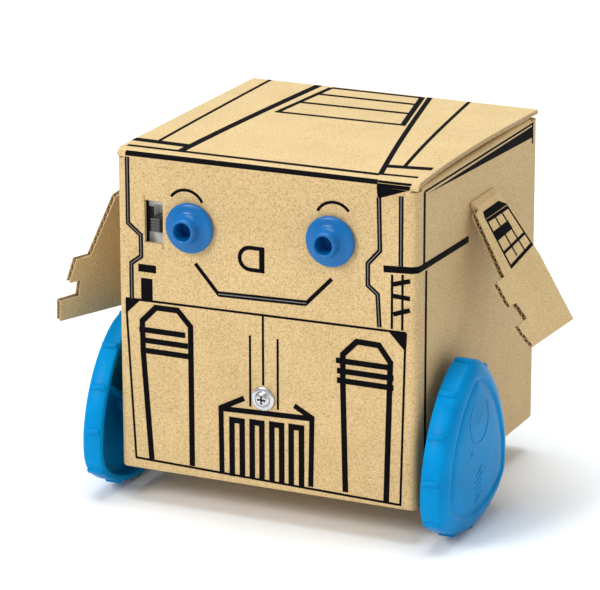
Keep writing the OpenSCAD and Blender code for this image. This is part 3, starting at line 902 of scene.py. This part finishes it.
def make_arm(node):
    """An arm: two liners, the fluted medium that shows at its cut edges, a dark plate of painted shade inside the
    flutes, its print and its fold.
    """
    place = arm_placer(node)
    half = BOARD / 2 + 0.25
    outline = ARM_FRONT + ARM_BACK[::-1]
    liners = [prism(outline, place, half - LINER, half), prism(outline, place, -half, -half + LINER)]
    made = add_mesh(node + "_liners", *joined(liners), KRAFT_Y, node, "card", smooth=False)
    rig.replaces(made, node)
    lengths = steps(ARM_START, 53.9, 200)
    vertices, faces = [], []
    crush = 0.08
    for length in lengths:
        lift = (half - LINER - 0.08) * math.sin(2 * math.pi * length / FLUTE)
        front = edge_at(ARM_FRONT, length) + crush
        back = edge_at(ARM_BACK, length) - crush
        corners = ((front, 0.11), (back, 0.11), (back, -0.11), (front, -0.11))
        vertices += [place(along, length, lift + h) for along, h in corners]
    for i in range(len(lengths) - 1):
        for k in range(4):
            m = (k + 1) % 4
            faces.append((i * 4 + k, i * 4 + m, i * 4 + 4 + m, i * 4 + 4 + k))
    faces += [(0, 1, 2, 3), tuple(len(vertices) - 4 + k for k in range(4))]
    add_mesh(node + "_medium", vertices, faces, KRAFT_WAVE, node, "card")
    # A dark plate set back behind the cut edges is painted shade, standing in for the shadow deep inside the flutes
    inside = [(along + 0.9, length) for along, length in ARM_FRONT]
    inside += [(along - 0.9, length) for along, length in ARM_BACK[::-1]]
    deep = prism(inside, place, half - LINER - 0.02, LINER + 0.02 - half)
    add_mesh(node + "_deep", *deep, KRAFT_DEEP, node, "card", smooth=False)
    # The cut edge along the bottom, parallel to the flutes, is closed
    bottom = [(-28.9, 53.2), (8.6, 54.1), (8.8, 54.8), (-29.1, 53.85)]
    edge = prism(bottom, place, -half + 0.1, half - 0.1)
    add_mesh(node + "_bottom_edge", *edge, KRAFT_EDGE, node, "card", smooth=False)
    print_arm(node, place, half)
    fold_arm(node)


def print_arm(node, place, half):
    """The arm's printed cap and window grid."""

    def on_arm(y, length, out):
        return place(y, length, half + out)

    def in_grid(u, v):
        top = (-9.4 + 20.1 * u, 7.7)
        bottom = (-12.2 + 23.9 * u, 26.2 - 2.4 * u)
        return tuple(a + (b - a) * v for a, b in zip(top, bottom))

    parts = [patch([(-8.3, 4.1), (6.8, 3.9), (11.9, 6.8), (-10.2, 6.9)], on_arm)]
    outline = [in_grid(0, 0), in_grid(1, 0), in_grid(1, 1), in_grid(0, 1)]
    parts.append(stroke(1.25, outline, on_arm, closed=True))
    for v in (0.28, 0.70):
        parts.append(stroke(1.05, [in_grid(0, v), in_grid(1 if v > 0.5 else 0.6, v)], on_arm))
    for u in (0.36, 0.68):
        parts.append(stroke(1.05, [in_grid(u, 0), in_grid(u, 1 if u > 0.5 else 0.93)], on_arm))
    pane = [in_grid(0, 0.24), in_grid(0.72, 0.24), in_grid(0.72, 0.44), in_grid(0, 0.44)]
    parts.append(patch(pane, on_arm, INK * 1.1))
    add_mesh(node + "_print", *joined(parts), INK_BLACK, node, "card", smooth=False)


def fold_arm(node):
    """The strip of board that bends between the tab in its slit and the arm."""
    half = BOARD / 2
    place = arm_placer(node)

    def bent(along, t, out):
        flat = crease_point(node, along, 1.6 * t - 1.6, out)
        hung = place(along, 0.4 + 2.0 * t, out)
        return flat.lerp(hung, t * t * (3 - 2 * t))

    edges = steps(-CREASE / 2, CREASE / 2, 6)
    strip = grid_solid(bent, edges, steps(0, 1, 12), -half, half)
    made = add_mesh(node + "_fold", *strip, KRAFT_Y, None, "card")
    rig.blend(made, "base", node, start=crease_point(node, 0, -1.4, 0), end=place(0, 2.2, 0))
    tab = frame["nodes"][node + "_tab"]
    tab.data.materials.clear()
    tab.data.materials.append(KRAFT_Y)


# ---------------------------------------------------------------- wheels
RIM_R = 31.8
LOBE = 2.8
RIM_X = HALF_W + 4.7
TREADS = 12
FIRST_TREAD = 1.5
# The wheel's skin, from its inner rim round its face: (inset from the rim, distance from the inner rim)
FACE_PROFILE = [
    (0.9, 0.0), (0.3, 0.15), (0.0, 0.6), (0.0, 6.3), (0.25, 7.0), (0.9, 7.6), (2.0, 8.25), (3.4, 8.8),
    (4.8, 9.15), (5.9, 9.3), (6.3, 9.1), (6.7, 8.7), (7.3, 8.65), (7.8, 8.85), (8.6, 9.25), (11.0, 9.55),
    (16.0, 9.85), (24.0, 10.0),
]
CUP_PROFILE = [(2.2, 0.0), (2.2, 5.4), (2.8, 6.0), (6.0, 6.4), (24.0, 6.8)]


def rim_point(turn, inset):
    """A point of the rounded triangle, where the normal is at an angle in radians."""
    shrink = 1.0
    if inset > 8:
        shrink = 1 - (inset - 8) / 24
        inset = 8
    reach = RIM_R - inset + LOBE * math.cos(3 * turn - 3 * math.pi / 2)
    slope = -3 * LOBE * math.sin(3 * turn - 3 * math.pi / 2)
    y = reach * math.cos(turn) - slope * math.sin(turn)
    z = reach * math.sin(turn) + slope * math.cos(turn)
    return y * shrink, z * shrink


def wheel_skin(place, segments=144):
    """The dished wheel as one closed skin."""
    profile = FACE_PROFILE[::-1] + CUP_PROFILE
    vertices, faces = [], []
    for inset, x in profile:
        for s in range(segments):
            y, z = rim_point(2 * math.pi * s / segments, inset)
            vertices.append(place(x, y, z))
    for k in range(len(profile) - 1):
        for s in range(segments):
            after = (s + 1) % segments
            here, beside = k * segments + s, k * segments + after
            faces.append((here, beside, beside + segments, here + segments))
    faces.append(tuple(range(segments)))
    faces.append(tuple(range((len(profile) - 1) * segments, len(profile) * segments)))
    return vertices, faces


def rim_turn(distance):
    """Where the rim's normal points, at a distance along the rim from its top lobe."""
    lean = distance / RIM_R
    for _ in range(8):
        reached = RIM_R * lean - 8 * LOBE / 3 * math.sin(3 * lean)
        lean -= (reached - distance) / (RIM_R - 8 * LOBE * math.cos(3 * lean))
    return math.pi / 2 + lean


def tread(place, turn):
    """A rounded bar across the rim."""
    y, z = rim_point(turn, 0)
    profile = [(-1.25, -0.4), (-1.0, 0.55), (-0.6, 0.95), (0.6, 0.95), (1.0, 0.55), (1.25, -0.4)]
    section = [(0.5, 0.55), (0.9, 1.0), (6.4, 1.0), (6.9, 0.6)]

    def bar(across, x, height):
        out = Vector((math.cos(turn), math.sin(turn)))
        along = Vector((-out.y, out.x))
        at_point = Vector((y, z)) + out * height + along * across
        return place(x, at_point.x, at_point.y)

    vertices, faces = [], []
    n = len(profile)
    for x, scale in section:
        for across, height in profile:
            vertices.append(bar(across * scale, x, height if height < 0 else height * scale))
    for k in range(len(section) - 1):
        for i in range(n):
            j = (i + 1) % n
            faces.append((k * n + i, k * n + j, (k + 1) * n + j, (k + 1) * n + i))
    faces += [tuple(range(n)), tuple(range((len(section) - 1) * n, len(section) * n))]
    return vertices, faces


def face_height(y, z):
    """How far the wheel's flat middle stands from the inner rim."""
    return 10.0 - 0.9 * (math.hypot(y, z) / 25) ** 2


def embossing(place):
    """Generic raised marks on the wheel's face: a ring, dashes and a pip."""

    def on_face(y, z, out):
        return place(face_height(y, z) + out, y, z)

    def ring(r, width, cy, cz):
        points = [(cy + r * math.cos(t), cz + r * math.sin(t)) for t in steps(0, 2 * math.pi, 48)[:-1]]
        return stroke(width, points, on_face, out=0.28, closed=True)

    parts = [ring(8.5, 0.7, 0, 12.5)]
    for k in range(2):
        parts.append(stroke(0.5, [(-2.6, 12 + 2.4 * k), (2.6, 14 + 2.4 * k)], on_face, out=0.25, longest=1.0))
    for k in range(5):
        parts.append(stroke(0.5, [(-3, -8 - 2.5 * k), (2.6, -5.6 - 2.5 * k)], on_face, out=0.25, longest=1.0))
    parts.append(ring(0.7, 0.9, -6.5, 1.5))
    return parts


def make_wheel(side, node):
    """A wheel: its dished skin, treads, hub, ribs and raised marks."""
    centre_y, centre_z = wheel_centre()

    def place(x, y, z):
        return at(side * (RIM_X + x), centre_y + y, centre_z + z)

    skin = add_mesh(node + "_skin", *wheel_skin(place), BLUE, node, "blue_plastic", angle=50)
    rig.replaces(skin, node)
    bars = [tread(place, rim_turn(FIRST_TREAD + 2 * math.pi * RIM_R * k / TREADS)) for k in range(TREADS)]
    add_mesh(node + "_treads", *joined(bars), BLUE, node, "blue_plastic", angle=60)
    hub = [(1.6, -4.1), (4.2, -4.1), (4.5, -3.8), (4.7, 6.9), (1.6, 6.9)]
    inner = [lathe(hub, (0, 0), lambda y, z, d: place(d, y, z), 48)]
    for k in range(3):
        turn = math.radians(30 + 120 * k)
        along = Vector((math.cos(turn), math.sin(turn)))
        across = Vector((-along.y, along.x)) * 0.7
        ends = [along * 4.2, along * 28.5]
        outline = [ends[0] - across, ends[1] - across, ends[1] + across, ends[0] + across]
        inner.append(prism([tuple(p) for p in outline], lambda y, z, x: place(x, y, z), 1.2, 6.9))
    add_mesh(node + "_hub", *joined(inner), BLUE, node, "blue_plastic")
    add_mesh(node + "_marks", *joined(embossing(place)), BLUE, node, "blue_plastic")


# ---------------------------------------------------------------- eyes, screw and switch
EYE_PROFILE = [
    (0.0, 0.6), (3.1, 0.6), (3.3, 1.0), (3.3, 7.0), (3.45, 7.4), (3.8, 7.6), (4.2, 7.6), (4.5, 7.4),
    (4.65, 7.0), (4.8, 5.4), (5.1, 4.3), (5.6, 3.4), (6.3, 3.0), (7.6, 2.75), (8.7, 2.5), (9.1, 2.25),
    (9.3, 1.8), (9.3, 0.8), (9.0, 0.3), (8.4, 0.05), (3.85, 0.05), (3.85, -5.4), (3.4, -6.0), (0.0, -6.0),
]


def face_centre(node):
    """Where a turned part's axis meets the face, in x and z."""
    low, high = box_of(node)
    return (low[0] + high[0]) / 2, (low[2] + high[2]) / 2


def out_of_face(x, z, out):
    """A point in front of the face."""
    return at(x, -out, z)


def make_eye(node):
    """A turned eye peg with soft edges and a deep hole."""
    profile = [(max(r, 0.02), d) for r, d in EYE_PROFILE]
    turned = lathe(profile, face_centre(node), out_of_face, 72)
    made = add_mesh(node + "_peg", *turned, EYE_BLUE, "base", "blue_plastic", angle=55)
    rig.replaces(made, node)


def make_screw():
    """The front screw: a domed head on a washer, with a cross recess whose floor is a black plate of painted shade."""
    x, z = face_centre("front_screw")
    profile = [(0.02, -8), (1.4, -8), (1.5, -7.6), (1.5, 0.05), (4.35, 0.05), (4.5, 0.3), (4.45, 0.7)]
    profile += [(4.2, 0.9), (3.1, 1.05), (2.95, 1.4), (2.5, 1.9), (1.8, 2.2), (0.9, 2.35), (0.02, 2.4)]
    turned = lathe(profile, (x, z), out_of_face, 56)
    made = add_mesh("front_screw_turned", *turned, STEEL, "base", "plated_steel", angle=35)
    tools = []
    for across, along in ((1.75, 0.4), (0.4, 1.75)):
        tools.append(box_solid((x - across, -3, z - along), (x + across, -1.3, z + along)))
    cut(made, tools)
    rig.replaces(made, "front_screw")
    # A black cross plate at the bottom of the recess is painted shade, standing in for the shadow inside the recess
    floor = [box_solid((x - a, -1.36, z - b), (x + a, -1.26, z + b)) for a, b in ((1.7, 0.38), (0.38, 1.7))]
    add_mesh("front_screw_recess", *joined(floor), BLACK_PLASTIC, "base", "plated_steel", smooth=False)


def make_switch():
    """The slide switch behind its window: a white housing, a black guard round the slot, a ribbed knob."""
    low, high = box_of("switch_body")
    (x0, y0, z0), (x1, y1, z1) = box_of("switch_knob")
    room = 0.35
    travel = 4.0
    slot_low = (x0 - room, low[1] - 1, z0 - room)
    slot_high = (x1 + room, high[1] - 1.2, z1 + travel + room)
    housing = box_solid(low, high)
    body = add_mesh("switch_housing", *housing, WHITE_PLASTIC, "base", "plated_steel", smooth=False)
    cut(body, [box_solid(slot_low, slot_high)])
    bevel(body, 0.25)
    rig.replaces(body, "switch_body")
    guard = box_solid((x0 - 2.4, low[1] - 0.5, z0 - 0.9), (x1 + 0.9, low[1] + 0.05, z1 + travel - 0.6))
    guard_piece = add_mesh("switch_guard", *guard, BLACK_PLASTIC, "base", "black_plastic", smooth=False)
    cut(guard_piece, [box_solid(slot_low, slot_high)])
    block = box_solid((x0, y0, z0), (x1, y1, z1))
    knob = add_mesh("switch_knob_ribbed", *block, KNOB_PLASTIC, "knob", "black_plastic", smooth=False)
    grooves = []
    for k in range(4):
        z = z0 + 0.9 + k * 1.07
        grooves.append(box_solid((x0 - 1, y0 - 1, z - 0.25), (x1 + 1, y0 + 0.45, z + 0.25)))
    cut(knob, grooves)
    bevel(knob, 0.12, 2)
    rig.replaces(knob, "switch_knob")


# ---------------------------------------------------------------- the CAD parts inside
INSIDE = {
    "eye_clip": BLUE, "front_nut": STEEL, "switch_board": CIRCUIT, "chassis_plate": BLACK_PLASTIC,
    "chassis_screws": STEEL, "rear_skid": BLACK_PLASTIC, "gearbox_frame": WHITE_PLASTIC, "idler_pin": STEEL,
    "motor_pinion": BRASS, "idler_gear": WHITE_PLASTIC, "final_gear": WHITE_PLASTIC, "axle": STEEL,
    "battery_box": BLACK_PLASTIC, "battery_cells": CELL_FILM, "battery_contacts": BRASS,
    "control_board": CIRCUIT, "left_motor": CAN_STEEL, "right_motor": CAN_STEEL,
}


def finish_inside():
    """Gives each CAD part that stays its material."""
    for name, node in frame["nodes"].items():
        for key, material in sorted(INSIDE.items()):
            if name == key or (name.endswith(key) and not key.endswith("_motor")):
                node.data.materials.clear()
                node.data.materials.append(material)


# ---------------------------------------------------------------- camera, light and floor
YAW, PITCH, ROLL = math.radians(24.82), math.radians(17.33), math.radians(-0.12)


def make_camera():
    """The camera at the photograph's viewing angle."""
    back = Vector((math.sin(YAW) * math.cos(PITCH), -math.cos(YAW) * math.cos(PITCH), math.sin(PITCH)))
    right = Vector((math.cos(YAW), math.sin(YAW), 0))
    up = back.cross(right)
    tilted_right = right * math.cos(ROLL) + up * math.sin(ROLL)
    tilted_up = up * math.cos(ROLL) - right * math.sin(ROLL)
    data = bpy.data.cameras.new("camera")
    data.sensor_width = 36
    data.lens = 220.6
    data.clip_start = 0.05
    data.clip_end = 20
    camera = bpy.data.objects.new("camera", data)
    bpy.context.scene.collection.objects.link(camera)
    place = at(538.0, -1133.3, 465.1)
    axes = Matrix((tilted_right, tilted_up, back)).transposed().to_4x4()
    camera.matrix_world = Matrix.Translation(place) @ axes
    bpy.context.scene.camera = camera


def area_light(name, place, target, size, power, colour=(1, 1, 1)):
    """A soft square light aimed at a point."""
    data = bpy.data.lights.new(name, "AREA")
    data.size = size
    data.energy = power
    data.color = colour
    made = bpy.data.objects.new(name, data)
    made.location = place
    made.rotation_mode = "QUATERNION"
    made.rotation_quaternion = (Vector(target) - Vector(place)).to_track_quat("-Z", "Y")
    bpy.context.scene.collection.objects.link(made)


def make_stage():
    """A pale floor, soft light and a pale world."""
    size = 3.0
    mesh = bpy.data.meshes.new("floor")
    corners = [(x * size, y * size, 0) for x, y in ((-1, -1), (1, -1), (1, 1), (-1, 1))]
    mesh.from_pydata(corners, [], [(0, 1, 2, 3)])
    floor = bpy.data.objects.new("floor", mesh)
    bpy.context.scene.collection.objects.link(floor)
    material, tree, shader, node = new_material("floor_white")
    shader.inputs["Base Color"].default_value = (0.93, 0.93, 0.93, 1)
    shader.inputs["Roughness"].default_value = 0.9
    mesh.materials.append(material)
    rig.stage(floor)
    world = bpy.data.worlds.new("world")
    world.use_nodes = True
    world.node_tree.nodes["Background"].inputs["Color"].default_value = (1, 1, 1, 1)
    world.node_tree.nodes["Background"].inputs["Strength"].default_value = 0.5
    bpy.context.scene.world = world
    bpy.context.scene.view_settings.view_transform = "Standard"
    middle = (0, 0, 0.06)
    area_light("key", (-0.6, -1.1, 0.9), middle, 0.5, 11.5, (1, 0.98, 0.95))
    area_light("top", (-0.1, 0.1, 1.4), middle, 1.0, 19, (0.84, 0.93, 1))
    area_light("fill", (1.2, -0.6, 0.5), middle, 0.9, 2.0, (1, 0.86, 0.70))


make_carton()
make_lid()
make_dust_flaps()
make_tuck()
print_carton()
for arm_node in ARMS:
    make_arm(arm_node)
for wheel_side, wheel_node in ((1, "right_wheel"), (-1, "left_wheel")):
    make_wheel(wheel_side, wheel_node)
make_eye("left_eye")
make_eye("right_eye")
make_screw()
make_switch()
finish_inside()
make_camera()
make_stage()

with open("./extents.json", "w") as size_file:
    json.dump({"cad": [list(c) for c in cad_box], "visual": [list(c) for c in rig.bounds()]}, size_file)
